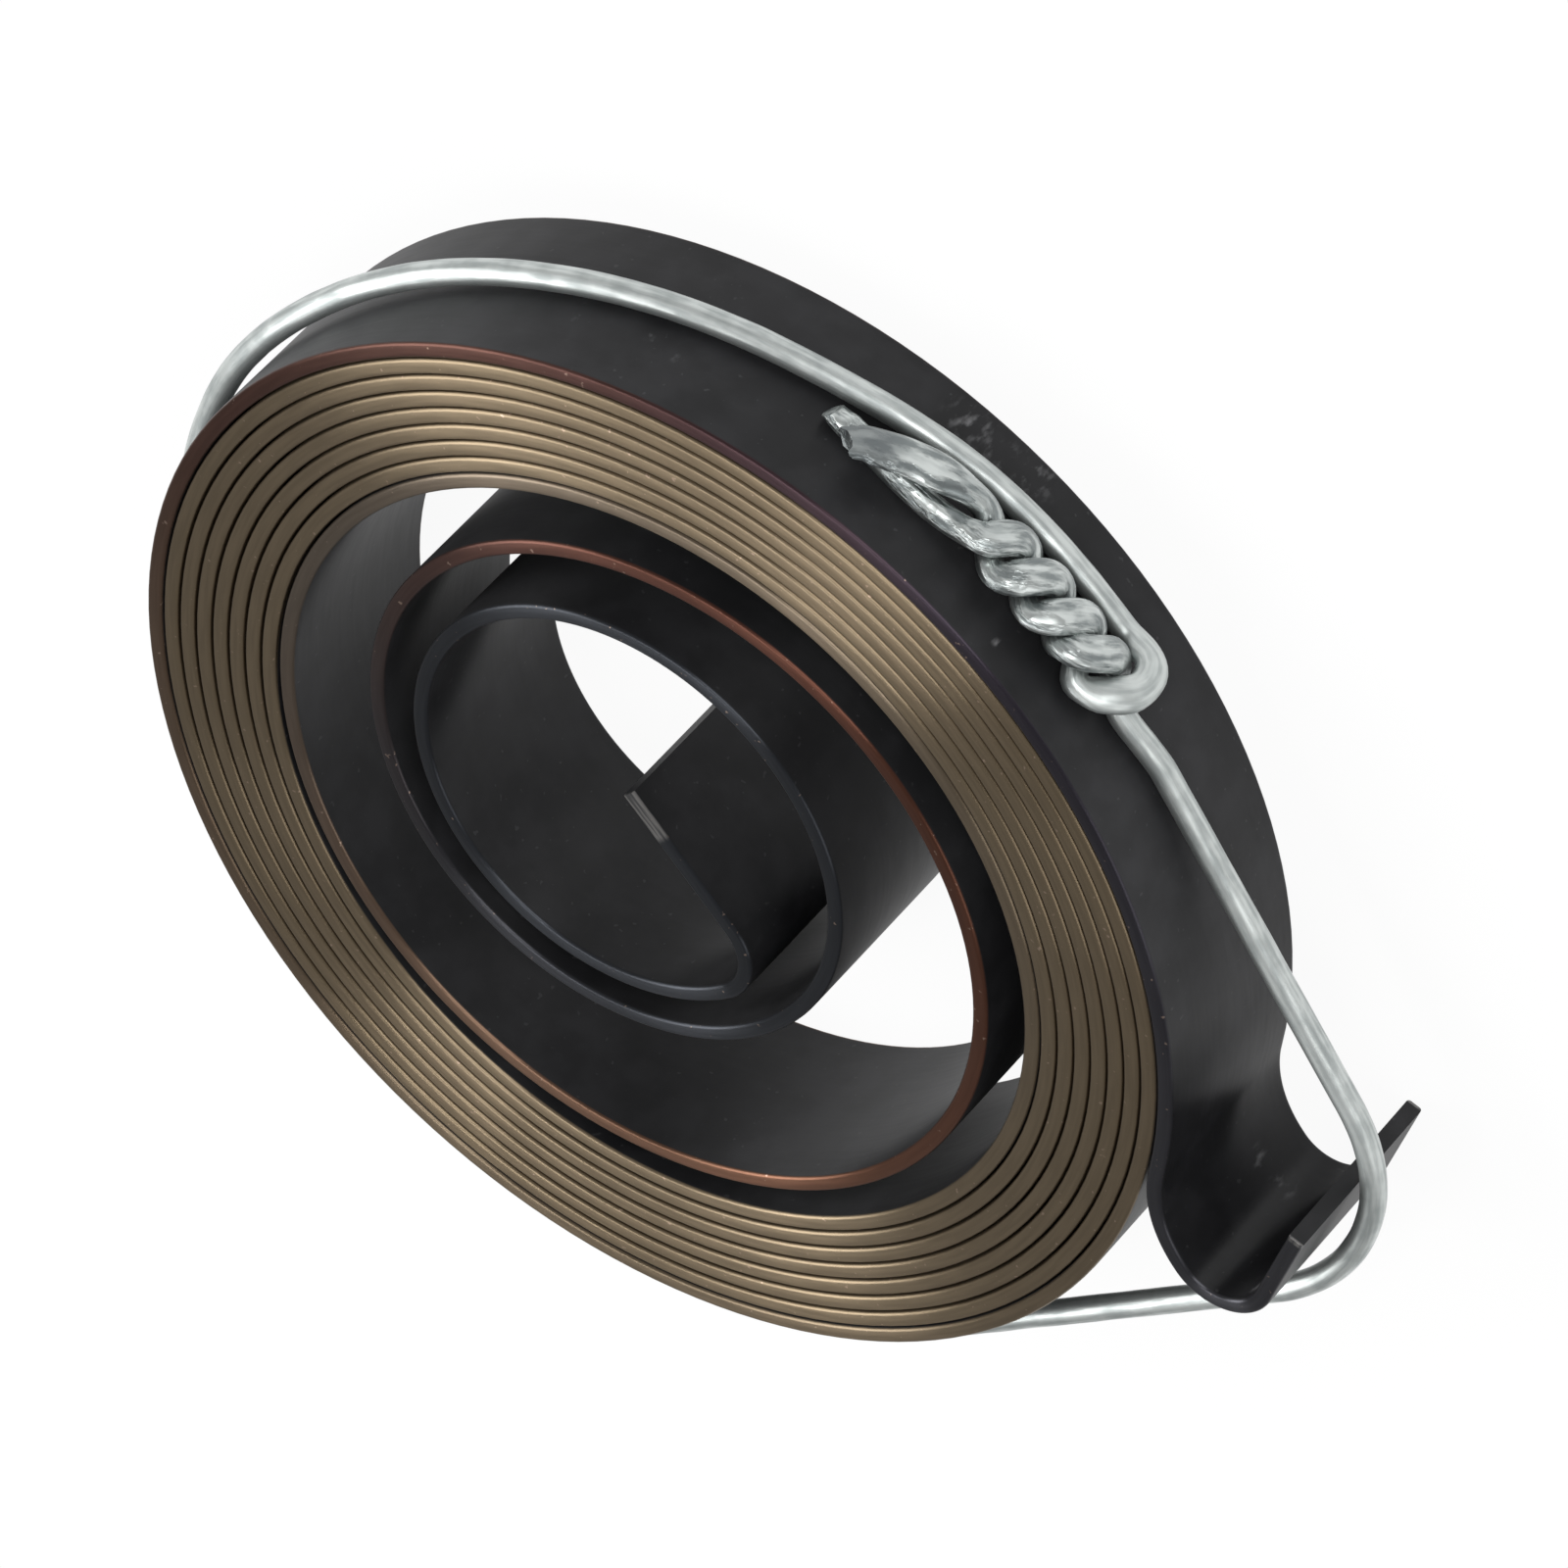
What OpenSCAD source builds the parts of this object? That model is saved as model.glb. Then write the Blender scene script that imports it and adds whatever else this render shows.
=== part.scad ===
// Spiral power spring: one wound steel strip with an inner tab and an outer hook,
// kept closed by a binding wire whose two ends are twisted together.
// The spring lies flat: its axis is Z and its lower edge is at Z = 0.

/* [Strip] */
// Width of the strip, which is the height of the spring as it lies
strip_w = 9; // [6:0.5:14]
// Thickness of the strip
strip_t = 0.7; // [0.5:0.05:0.9]

/* [Close turns] */
// Outside diameter of the coil where the hook leaves it
coil_d = 50; // [46:1:60]
// Whole turns that lie close together
close_turns = 8; // [6:1:9]
// Gap between the close turns on the side where they press together
close_gap = 0.05; // [0.04:0.01:0.12]
// Gap between the close turns on the opposite side
open_gap = 0.14; // [0.04:0.01:0.2]
// Direction in which the close turns press together
close_side = 42; // [20:1:70]
// Angle past the close side at which the strip lets go of the close turns
release_turn = 58; // [40:1:80]

/* [Loose turns] */
// Angle that the strip turns through from its release to the inner bend
loose_turn = 910; // [890:1:920]
// Radius that the loose turn loses in a full turn
loose_pitch = 2.7; // [2.2:0.1:3.2]
// Radius that the inner coil loses in a full turn
inner_pitch = 1.95; // [1.6:0.05:2.3]
// Radius of the inner coil where it meets the inner bend
inner_r = 8.8; // [8:0.1:9.6]
// Angle after the release at which the loose turn starts to close on the inner coil
drop_start = 247; // [230:1:270]
// Angle that it takes to reach the inner coil
drop_turn = 262; // [230:1:290]

/* [Inner tab] */
// Bend radius of the inner tab, at the middle of the strip
tab_bend_r = 2.4; // [1.5:0.1:3]
// Angle of the inner bend
tab_bend_turn = 95; // [80:1:110]
// Straight length of the tab that drops into the arbor's slot
tab_len = 7; // [4:0.1:8]

/* [Outer hook] */
// Direction in which the strip leaves the coil for the hook
hook_root = -28; // [-45:1:-10]
// Radius on which the strip flares away from the coil
flare_r = 5.7; // [4:0.1:8]
// Angle of the flare
flare_turn = 51; // [40:1:60]
// Bend radius of the hook, at the middle of the strip
hook_r = 2.2; // [1.6:0.1:3]
// Angle of the hook's bend
hook_turn = 119; // [100:1:130]
// Straight length of the hook's tip
tip_len = 4.2; // [2.5:0.1:6]

/* [Binding wire] */
// Diameter of the wire
wire_d = 1.1; // [0.8:0.05:1.15]
// Play between the wire and what it lies on
wire_play = 0.05; // [0.04:0.01:0.1]
// How far the wire springs off the coil opposite the hook
wire_bow = 0.4; // [0:0.1:1.5]
// Direction in which it springs off
wire_bow_side = 121; // [110:1:150]
// Half turns in the twist
twist_halves = 3.2; // [1.2:2:5.2]
// Length of the twist for each full turn
twist_lead = 3.84; // [3.7:0.02:6]
// Width that the twist was pressed to
twist_w = 2.9; // [2.5:0.1:3.4]
// Direction in which the strands first cross
twist_side = 25.3; // [22:0.1:36]
// Bend radius of the loop at the foot of the twist
loop_r = 1.8; // [1.7:0.1:2.4]
// Length of each free end beyond the twist
tail_len = 7.8; // [5:0.2:10]

/* [Hidden] */
strip_colour = [0.20, 0.19, 0.18];
wire_colour = [0.70, 0.73, 0.74];

// Angle between neighbouring points along a bend of the strip
bend_step = 5;
// Angle between neighbouring rings where the wire lies round the coil
lap_step = 6;
// Sides of the wire
wire_sides = 10;
mid_w = strip_w / 2;

// Radius given up at the close side and at the open side, half a turn's worth each
step_at_close = (strip_t + open_gap) / 2;
step_at_open = (strip_t + close_gap) / 2;

function ahead(a) = [cos(a), sin(a)];
function left(a) = [-sin(a), cos(a)];
function last(list) = list[len(list) - 1];
function reversed(list) = [for (i = [len(list) - 1 : -1 : 0]) list[i]];
function mix(a, b, u) = a + (b - a) * u;
function ease(u) =
    let (v = max(0, min(1, u)))
    v * v * (3 - 2 * v);

// The centre line of the strip is a chain of states [x, y, heading].
// A run is [radius, turn] for a bend, which goes left, or [length] for a straight stretch.
function place(p, heading) = [p.x, p.y, heading];
function xy(s) = [s.x, s.y];
function bend_centre(s, r) = xy(s) + r * left(s.z);
function follow(s, run, part = 1) =
    len(run) == 1
        ? place(xy(s) + part * run[0] * ahead(s.z), s.z)
        : let (heading = s.z + part * run[1])
          place(bend_centre(s, run[0]) - run[0] * left(heading), heading);
function run_parts(run) = len(run) == 1 ? 1 : ceil(run[1] / bend_step);
function joints(start, runs) =
    [for (i = 0, s = start; i <= len(runs); s = i < len(runs) ? follow(s, runs[i]) : s, i = i + 1) s];
function trace(start, runs) =
    let (from = joints(start, runs))
    [
        for (i = [0 : len(runs) - 1])
            let (n = run_parts(runs[i]))
            for (k = [1 : n]) follow(from[i], runs[i], k / n)
    ];

// Close turns: half circles about two alternating sets of centres on the line through the close side.
// The first stretch, number 0, runs from the hook's root to the close side.
function lap_r(k) =
    (coil_d - strip_t) / 2 - ceil(k / 2) * step_at_close - floor(k / 2) * step_at_open;
function lap_centre(k) =
    (ceil(k / 2) * step_at_close - floor(k / 2) * step_at_open) * ahead(close_side);
last_lap = 2 * close_turns + 1;
close_runs = [
    [lap_r(0), close_side - hook_root],
    for (k = [1 : last_lap - 1]) [lap_r(k), 180],
    [lap_r(last_lap), release_turn]
];

// Loose turns: one slow spiral that eases into a second, tighter one
function loose_r(turn) =
    mix(
        lap_r(last_lap) - loose_pitch * turn / 360,
        inner_r + inner_pitch * (loose_turn - turn) / 360,
        ease((turn - drop_start) / drop_turn)
    );
loose_count = ceil(loose_turn / bend_step);
loose_step = loose_turn / loose_count;
loose_runs = [for (k = [0 : loose_count - 1]) [loose_r((k + 0.5) * loose_step), loose_step]];

tab_runs = [[tab_bend_r, tab_bend_turn], [tab_len]];
hook_runs = [[flare_r, flare_turn], [hook_r, hook_turn], [tip_len]];

root = lap_r(0) * ahead(hook_root);
hook_start = place(root, hook_root - 90);
hook_joints = joints(hook_start, hook_runs);
hook_tip = last(hook_joints);
hook_centre = bend_centre(hook_joints[1], hook_r);

// The whole strip from the hook's tip to the tab's end
strip_line = concat(
    [for (s = reversed(trace(hook_start, hook_runs))) place(s, s.z + 180)],
    [place(root, hook_root + 90)],
    trace(place(root, hook_root + 90), concat(close_runs, loose_runs, tab_runs))
);
function beside(s, side) = xy(s) + side * strip_t / 2 * left(s.z);

module spring_strip() {
    color(strip_colour)
        linear_extrude(strip_w)
            polygon(concat(
                [for (s = strip_line) beside(s, -1)],
                [for (s = reversed(strip_line)) beside(s, 1)]
            ));
}

// Lift of the wire's middle where it lies on the coil, and where it crosses over another strand
seat = wire_d / 2 + wire_play;
over_lift = seat + wire_d + 2 * wire_play;

// A place on the coil's outside: direction, lift above the surface, height from the middle of the strip
function lap_at(a) = a < close_side ? 0 : a < close_side + 180 ? 1 : 2;
function on_coil(p) =
    let (k = lap_at(p[0]))
    let (q = lap_centre(k) + (lap_r(k) + strip_t / 2 + p[1]) * ahead(p[0]))
    [q.x, q.y, mid_w + p[2]];
// Angle that a length covers along the outside of the coil
function along(length) = length / (coil_d / 2 + seat) * 180 / PI;
// A smooth line through a few places
function curve(p, parts = 4) = [
    for (i = [0 : len(p) - 2])
        let (a = p[max(0, i - 1)], b = p[i], c = p[i + 1], d = p[min(len(p) - 1, i + 2)])
        for (k = [1 : parts])
            let (u = k / parts)
            b + (c - a) * u / 2 + (2 * a - 5 * b + 4 * c - d) * u * u / 2
                + (3 * b - a - 3 * c + d) * u * u * u / 2
];

// The wire rounds the hook about a centre beside the hook's root.
// It clears the bend and the corner of the tip, whichever stands further out.
wrap_lag = 2;
wrap_centre = lap_r(1) * ahead(hook_root - wrap_lag);
wrap_r = seat + max(
    norm(beside(hook_tip, -1) - wrap_centre),
    norm(hook_centre - wrap_centre) + hook_r + strip_t / 2
);
// Directions in which a line touches both the coil's circle k and the wrap, below and above the hook
function direction(v) = atan2(v.y, v.x);
function reach(k) = wrap_centre - lap_centre(k);
function touch(k) = acos((lap_r(k) + strip_t / 2 + seat - wrap_r) / norm(reach(k)));
wrap_from = direction(reach(2)) - touch(2);
wrap_to = direction(reach(0)) + touch(0);

// A line in straight steps cuts inside its curve, so it is laid this much further out
chord_room = 1 / cos(lap_step / 2);

// Height of the wire from the middle of the strip on its way round, by direction
lap_heights = [
    [25, -1.55],
    [40, -1.55],
    [48, -1.25],
    [57, -0.6],
    [100, 0.6],
    [124, 1.6],
    [145, 0.8],
    [290, 2.5],
    [332, 0.1],
    [360, 0.1],
    [374, 0.6]
];
wrap_parts = ceil((wrap_to - wrap_from) / lap_step);
wrap_line = [
    for (k = [0 : wrap_parts])
        let (q = wrap_centre + chord_room * wrap_r * ahead(mix(wrap_from, wrap_to, k / wrap_parts)))
        [q.x, q.y, mid_w + lookup(direction(q) + 360, lap_heights)]
];

// Twist: two strands round a common axis that lies on the coil, pressed wider than they are high.
// Places along it are counted in half turns from where the strands first cross.
strand_r = (wire_d + wire_play) / 2;
strand_reach = (twist_w - wire_d) / 2;
twist_lift = seat + strand_r;
twist_height = 1.05;
function twist_at(half) = twist_side + along(half * twist_lead / 2);
twist_end = twist_at(twist_halves);
function strand(phase, half) =
    let (a = phase + 180 * half)
    [twist_at(half), twist_lift + strand_r * cos(a), twist_height + strand_reach * sin(a)];
function strand_line(phase, from) =
    let (n = ceil(6 * (twist_halves - from)))
    [for (k = [0 : n]) strand(phase, mix(from, twist_halves, k / n))];
over_from = 0.72;
under_from = 0.4;
over_strand = strand_line(0, over_from);
under_strand = strand_line(180, under_from);

// Loop at the foot of the twist, which passes over the strand that comes from the hook
loop_lead = -0.1;
loop_side = twist_side + along(loop_lead);
loop_height = 0.25;
loop_parts = 14;
// Angle in which the loop climbs from the coil to its top
loop_climb = 70;
function loop_lift(a) = mix(seat, over_lift, ease((90 - abs(a)) / loop_climb));
loop_line = [
    for (k = [0 : loop_parts])
        let (a = mix(90, -90, k / loop_parts))
        [loop_side - along(loop_r * cos(a)), loop_lift(a), loop_height + loop_r * sin(a)]
];
// From the twist to the loop, under the other strand.
// Each point is a length past the crossing, a share of the climb, and a height.
bridge_route = [[0.48, 0.02, 0.8], [0.24, 0, 1.42]];
bridge_line = curve([
    under_strand[0],
    for (p = bridge_route) [twist_side + along(p[0]), mix(seat, over_lift, p[1]), p[2]],
    loop_line[0]
], 3);

// From the hook to the twist, under the loop and over the other strand, told in the same way
foot_route = [
    [-4, 0, 0.75],
    [-2.4, 0, 0.95],
    [-1.35, 0.02, 0.5],
    [-0.75, 0.44, 0.15],
    [-0.3, 0.88, 0.45],
    [0.13, 1.02, 1.05],
    [0.55, 1.02, 1.6],
    [0.98, 0.92, 1.92]
];
foot_line = curve([
    [wrap_to, seat, lookup(wrap_to + 360, lap_heights)],
    for (p = foot_route) [twist_side + along(p[0]), mix(seat, over_lift, p[1]), p[2]],
    over_strand[0]
], 3);

// Free ends: one lies down on the coil, the other crosses over it.
// Each point is a share of the end's length, a share of the way to the end's own lift, and a height.
low_route = [[0.12, 0.4, 1.68], [0.3, 0.95, 1.72], [0.5, 1, 1.6], [0.75, 1, 1.25], [1, 1, 0.78]];
high_route = [
    [0.09, -0.1, 0.16],
    [0.21, 0.4, 0.26],
    [0.36, 0.9, 0.49],
    [0.55, 1, 1.04],
    [0.66, 1, 1.57],
    [0.78, 1, 2.5]
];
function free_end(start, route, lift) = curve([
    start,
    for (p = route) [twist_end + along(tail_len * p[0]), mix(twist_lift, lift, p[1]), p[2]]
], 3);
low_end = free_end(last(under_strand), low_route, seat);
high_end = free_end(last(over_strand), high_route, over_lift);

// Once round the coil, from the loop to the hook
lap_lead = 3;
lap_from = loop_side + lap_lead;
lap_to = wrap_from + 360;
lap_parts = ceil((lap_to - lap_from) / lap_step);
wire_bow_reach = 40;
lap_room = (chord_room - 1) * (coil_d / 2 + seat);
function lap_lift(a) =
    seat + lap_room + wire_bow * ease(1 - abs(a - wire_bow_side) / wire_bow_reach);
lap_line = [
    for (k = [0 : lap_parts])
        let (a = mix(lap_from, lap_to, k / lap_parts))
        on_coil([a, lap_lift(a), lookup(a, lap_heights)])
];

// From the end that lies on the coil, round the coil and the hook, to the end that crosses over
wire_line = concat(
    [for (p = reversed(concat(under_strand, low_end))) on_coil(p)],
    [for (p = concat(bridge_line, [for (k = [1 : loop_parts]) loop_line[k]])) on_coil(p)],
    lap_line,
    wrap_line,
    [for (p = concat(foot_line, [for (k = [1 : len(over_strand) - 1]) over_strand[k]], high_end)) on_coil(p)]
);

function unit(v) = v / norm(v);
module wire_sweep(line, d, sides) {
    n = len(line);
    rings = [
        for (i = [0 : n - 1])
            let (forward = unit(line[min(n - 1, i + 1)] - line[max(0, i - 1)]))
            let (out = [line[i].x, line[i].y, 0])
            let (up = unit(out - (out * forward) * forward))
            let (across = cross(forward, up))
            for (k = [0 : sides - 1])
                line[i] + d / 2 * (cos(360 * k / sides) * up + sin(360 * k / sides) * across)
    ];
    walls = [
        for (i = [0 : n - 2], k = [0 : sides - 1])
            let (a = i * sides + k, b = i * sides + (k + 1) % sides)
            for (face = [[a, a + sides, b], [b, a + sides, b + sides]]) face
    ];
    first_end = [for (k = [0 : sides - 1]) k];
    last_end = [for (k = [sides - 1 : -1 : 0]) (n - 1) * sides + k];
    polyhedron(points = rings, faces = concat(walls, [first_end, last_end]));
}

module binding_wire() {
    color(wire_colour)
        wire_sweep(wire_line, wire_d, wire_sides);
}

spring_strip();
binding_wire();
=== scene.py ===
"""Looks of a spiral power spring that a twisted wire ties shut, lying flat in a plain studio."""

import logging
import math
from dataclasses import dataclass
from enum import Enum
from functools import partial, reduce
from typing import List, Mapping, Sequence, Tuple, Union

import bmesh
import bpy
from mathutils import Matrix, Vector, noise


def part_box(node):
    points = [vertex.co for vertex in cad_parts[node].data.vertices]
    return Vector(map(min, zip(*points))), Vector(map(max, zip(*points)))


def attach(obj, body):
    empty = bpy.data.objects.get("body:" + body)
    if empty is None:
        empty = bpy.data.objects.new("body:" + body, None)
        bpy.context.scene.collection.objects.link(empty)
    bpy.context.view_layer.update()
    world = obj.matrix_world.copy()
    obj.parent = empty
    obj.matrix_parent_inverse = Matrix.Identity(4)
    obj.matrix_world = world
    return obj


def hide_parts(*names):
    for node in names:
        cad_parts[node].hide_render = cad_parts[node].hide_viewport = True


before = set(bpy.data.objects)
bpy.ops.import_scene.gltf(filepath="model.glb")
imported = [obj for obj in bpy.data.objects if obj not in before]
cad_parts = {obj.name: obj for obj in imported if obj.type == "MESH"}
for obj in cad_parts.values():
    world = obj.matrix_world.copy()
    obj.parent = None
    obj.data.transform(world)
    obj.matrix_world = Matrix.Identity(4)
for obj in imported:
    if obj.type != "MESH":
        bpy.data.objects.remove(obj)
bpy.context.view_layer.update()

LOG = logging.getLogger("power_spring")
BODY = "root"
STRIP = "spring_strip"
WIRE = "binding_wire"
SWEEP_UV = "sweep"
ALONG = "along"
ROUND = "round"

# Pieces are modelled in millimetres and end in metres.
MM = 0.001
TINY = 1e-6
UP = Vector((0.0, 0.0, 1.0))
WHITE = (1.0, 1.0, 1.0, 1.0)

# A quarter of a turn, as a shader counts turns.
QUARTER_TURN = 0.25

# Sockets of a mixing node that carry colours.
MIX_FIRST = 6
MIX_SECOND = 7
MIX_RESULT = 2

Colour = Tuple[float, float, float, float]
Key = Union[int, str]
Socket = bpy.types.NodeSocket
Value = Union[float, Sequence[float], Socket]
Band = Tuple[float, float]
Route = Tuple[Tuple[float, float, float], ...]


def shade(red: int, green: int, blue: int) -> Colour:
    """Turn a colour as a screen shows it, 0 to 255, into the linear one that shaders take.

    Args:
        red: Red as shown.
        green: Green as shown.
        blue: Blue as shown.

    Returns:
        The linear colour, with full opacity.
    """
    shown = (red / 255, green / 255, blue / 255)
    linear = [c / 12.92 if c <= 0.04045 else ((c + 0.055) / 1.055) ** 2.4 for c in shown]
    return (linear[0], linear[1], linear[2], 1.0)


def mix(first: float, second: float, share: float) -> float:
    """Go a share of the way from one number to another."""
    return first + (second - first) * share


def spread(start: float, end: float, steps: int) -> List[float]:
    """Give numbers from one to another, in so many equal steps."""
    return [mix(start, end, k / steps) for k in range(steps + 1)]


def ease(share: float) -> float:
    """Go from 0 to 1 with a soft start and a soft end."""
    held = max(0.0, min(1.0, share))
    return held * held * (3 - 2 * held)


def ahead(direction: float) -> Vector:
    """Give the flat unit vector that points in a direction in degrees."""
    return Vector((math.cos(math.radians(direction)), math.sin(math.radians(direction)), 0.0))


def direction_of(place: Vector) -> float:
    """Give the direction of a place seen from above, in degrees."""
    return math.degrees(math.atan2(place.y, place.x))


def lookup(table: Sequence[Tuple[float, float]], key: float) -> float:
    """Read a table of pairs in rising order, on straight lines between them.

    Args:
        table: Pairs of a key and its value.
        key: The key to read at.

    Returns:
        The value at the key, held at the table's ends.
    """
    if key <= table[0][0]:
        return table[0][1]
    for (low, low_value), (high, high_value) in zip(table, table[1:]):
        if key <= high:
            return mix(low_value, high_value, (key - low) / (high - low))
    return table[-1][1]


def line_length(points: Sequence[Vector]) -> float:
    """Give the length of a line through points."""
    return sum((after - before).length for before, after in zip(points, points[1:]))


def smooth_line(places: Sequence[Vector], parts: int) -> List[Vector]:
    """Run a smooth line through a few places.

    Args:
        places: The places that the line goes through.
        parts: Steps from each place to the next.

    Returns:
        The line's points, without its first.
    """
    line: List[Vector] = []
    final = len(places) - 1
    for i in range(final):
        a, b = places[max(0, i - 1)], places[i]
        c, d = places[i + 1], places[min(final, i + 2)]
        for k in range(1, parts + 1):
            u = k / parts
            bend = (2 * a - 5 * b + 4 * c - d) * u * u / 2 + (3 * b - a - 3 * c + d) * u ** 3 / 2
            line.append(b + (c - a) * u / 2 + bend)
    return line


def even_line(points: Sequence[Vector], spacing: float) -> List[Vector]:
    """Space a line's points evenly.

    Args:
        points: The line's points.
        spacing: About the distance wanted between points.

    Returns:
        Points along the same line, the first and last as they were.
    """
    travel = [0.0]
    for before, after in zip(points, points[1:]):
        travel.append(travel[-1] + (after - before).length)
    count = round(travel[-1] / spacing)
    line: List[Vector] = []
    i = 0
    for k in range(count + 1):
        goal = travel[-1] * k / count
        while i < len(points) - 2 and travel[i + 1] < goal:
            i += 1
        step = max(travel[i + 1] - travel[i], TINY)
        line.append(points[i].lerp(points[i + 1], (goal - travel[i]) / step))
    return line


def soften_line(line: Sequence[Vector], passes: int) -> List[Vector]:
    """Round off a line's kinks by moving each point towards its neighbours.

    Args:
        line: Evenly spaced points.
        passes: How many times to do it.

    Returns:
        The softened line, with its ends held.
    """
    soft = list(line)
    for _ in range(passes):
        inner = [(a + 2 * b + c) / 4 for a, b, c in zip(soft, soft[1:], soft[2:])]
        soft = [soft[0], *inner, soft[-1]]
    return soft


@dataclass(frozen=True)
class Station:
    """A place on the strip's centre line seen from above, and the way the line runs there.

    Attributes:
        point: The place, in millimetres.
        heading: The direction of travel, in degrees.
    """

    point: Vector
    heading: float

    @property
    def left(self) -> Vector:
        """Give the flat unit vector to the left of travel."""
        return ahead(self.heading + 90)

    def beside(self, offset: float) -> Vector:
        """Give the place at an offset to the left."""
        return self.point + offset * self.left

    def frame(self) -> Matrix:
        """Give the turn and place that lay a flat profile across the line, its own Y upright."""
        axes = Matrix((self.left, UP, self.left.cross(UP))).transposed()
        return Matrix.Translation(self.point) @ axes.to_4x4()


@dataclass(frozen=True)
class Run:
    """One stretch of the strip, straight or bent to one radius.

    Attributes:
        length: Length along the centre line, in millimetres.
        turn: Angle that it bends to the left, in degrees, and 0 where it is straight.
    """

    length: float
    turn: float = 0.0

    @classmethod
    def bend(cls, radius: float, turn: float) -> "Run":
        """Make a bend from its radius and its angle to the left."""
        return cls(radius * math.radians(abs(turn)), turn)

    def centre(self, start: Station) -> Vector:
        """Give the centre that a bend turns about."""
        return start.beside(self.length / math.radians(self.turn))

    def end(self, start: Station) -> Station:
        """Find the end of this run.

        Args:
            start: The station that it starts from.

        Returns:
            The station at its end.
        """
        if not self.turn:
            return Station(start.point + self.length * ahead(start.heading), start.heading)
        middle = self.centre(start)
        turned = Matrix.Rotation(math.radians(self.turn), 3, "Z") @ (start.point - middle)
        return Station(middle + turned, start.heading + self.turn)

    def parts(self, step: float) -> List["Run"]:
        """Cut the run into equal parts of at most so many degrees, one for a straight run."""
        count = max(1, math.ceil(abs(self.turn) / step - TINY))
        return [Run(self.length / count, self.turn / count)] * count


def new_sweep() -> bmesh.types.BMesh:
    """Start a mesh whose vertices can note how far along and round a drawn piece they lie.

    Returns:
        The empty mesh.
    """
    bm = bmesh.new()
    for layer in (ALONG, ROUND):
        bm.verts.layers.float.new(layer)
    return bm


def draw_out(bm: bmesh.types.BMesh, places: Sequence[Matrix], shares: Sequence[float]) -> None:
    """Draw a flat section out to a closed bar, cut it into steps and lay each step in its place.

    Args:
        bm: A new sweep that holds the section's one face in the XY plane.
        places: Turn and place of each step, the section's Z being the way of travel.
        shares: Share of the bar's length at each step.
    """
    along = bm.verts.layers.float[ALONG]
    grown = bmesh.ops.extrude_edge_only(bm, edges=bm.edges)["geom"]
    far = {part for part in grown if isinstance(part, bmesh.types.BMVert)}
    bmesh.ops.translate(bm, verts=list(far), vec=UP)
    for vert in far:
        vert[along] = 1.0
    rim = [edge for edge in bm.edges if far.issuperset(edge.verts)]
    bars = [edge for edge in bm.edges if len(far.intersection(edge.verts)) == 1]
    bmesh.ops.edgeloop_fill(bm, edges=rim)
    bmesh.ops.subdivide_edgering(bm, edges=bars, cuts=len(places) - 2, interp_mode="LINEAR")
    for vert in bm.verts:
        step = round(vert[along] * (len(places) - 1))
        vert.co = places[step] @ Vector((vert.co.x, vert.co.y, 0.0))
        vert[along] = shares[step]


def lay_uv(bm: bmesh.types.BMesh) -> None:
    """Lay a UV map along and round a drawn piece.

    Args:
        bm: The piece's mesh.
    """
    along = bm.verts.layers.float[ALONG]
    girth = bm.verts.layers.float[ROUND]
    uv = bm.loops.layers.uv.new(SWEEP_UV)
    for face in bm.faces:
        shares = [loop.vert[girth] for loop in face.loops]
        crosses_seam = max(shares) - min(shares) > 0.5
        for loop, share in zip(face.loops, shares):
            lifted = share + 1 if crosses_seam and share < 0.5 else share
            loop[uv].uv = (loop.vert[along], lifted)


def link(name: str, data: bpy.types.ID) -> bpy.types.Object:
    """Put a mesh, a light or a camera into the scene.

    Args:
        name: The object's name.
        data: What it shows.

    Returns:
        The object, at the origin.
    """
    thing = bpy.data.objects.new(name, data)
    bpy.context.collection.objects.link(thing)
    return thing


def finish_piece(bm: bmesh.types.BMesh, name: str, sharp: float) -> bpy.types.Object:
    """Turn a mesh in millimetres into a finished object in metres at the origin.

    Args:
        bm: The mesh, which is freed.
        name: The object's name.
        sharp: Angle between faces past which an edge stays sharp, in degrees.

    Returns:
        The linked object.
    """
    bmesh.ops.recalc_face_normals(bm, faces=bm.faces)
    bmesh.ops.scale(bm, vec=(MM, MM, MM), verts=bm.verts)
    for face in bm.faces:
        face.smooth = True
    for edge in bm.edges:
        edge.smooth = edge.calc_face_angle(0.0) < math.radians(sharp)
    mesh = bpy.data.meshes.new(name)
    bm.to_mesh(mesh)
    bm.free()
    return link(name, mesh)


class Sum(Enum):
    """Arithmetic that the finishes use."""

    ADD = "ADD"
    SUBTRACT = "SUBTRACT"
    MULTIPLY = "MULTIPLY"
    DISTANCE = "ABSOLUTE"
    GREATER = "MAXIMUM"


@dataclass(frozen=True)
class Mottle:
    """Cloudy noise, and the eased step that is read from it.

    Attributes:
        scale: Clouds in a metre.
        detail: Finer layers over them.
        start: Noise at which the step starts.
        end: Noise at which it ends.
        low: Number before the step.
        high: Number after it.
    """

    scale: float
    detail: float
    start: float
    end: float
    low: float = 0.0
    high: float = 1.0


@dataclass(frozen=True)
class Streaks:
    """Noise that is drawn out along a swept piece.

    Attributes:
        length: About the length of a streak, in millimetres.
        count: About how many lie round the piece.
        detail: Finer layers over them.
    """

    length: float
    count: float
    detail: float


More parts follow.
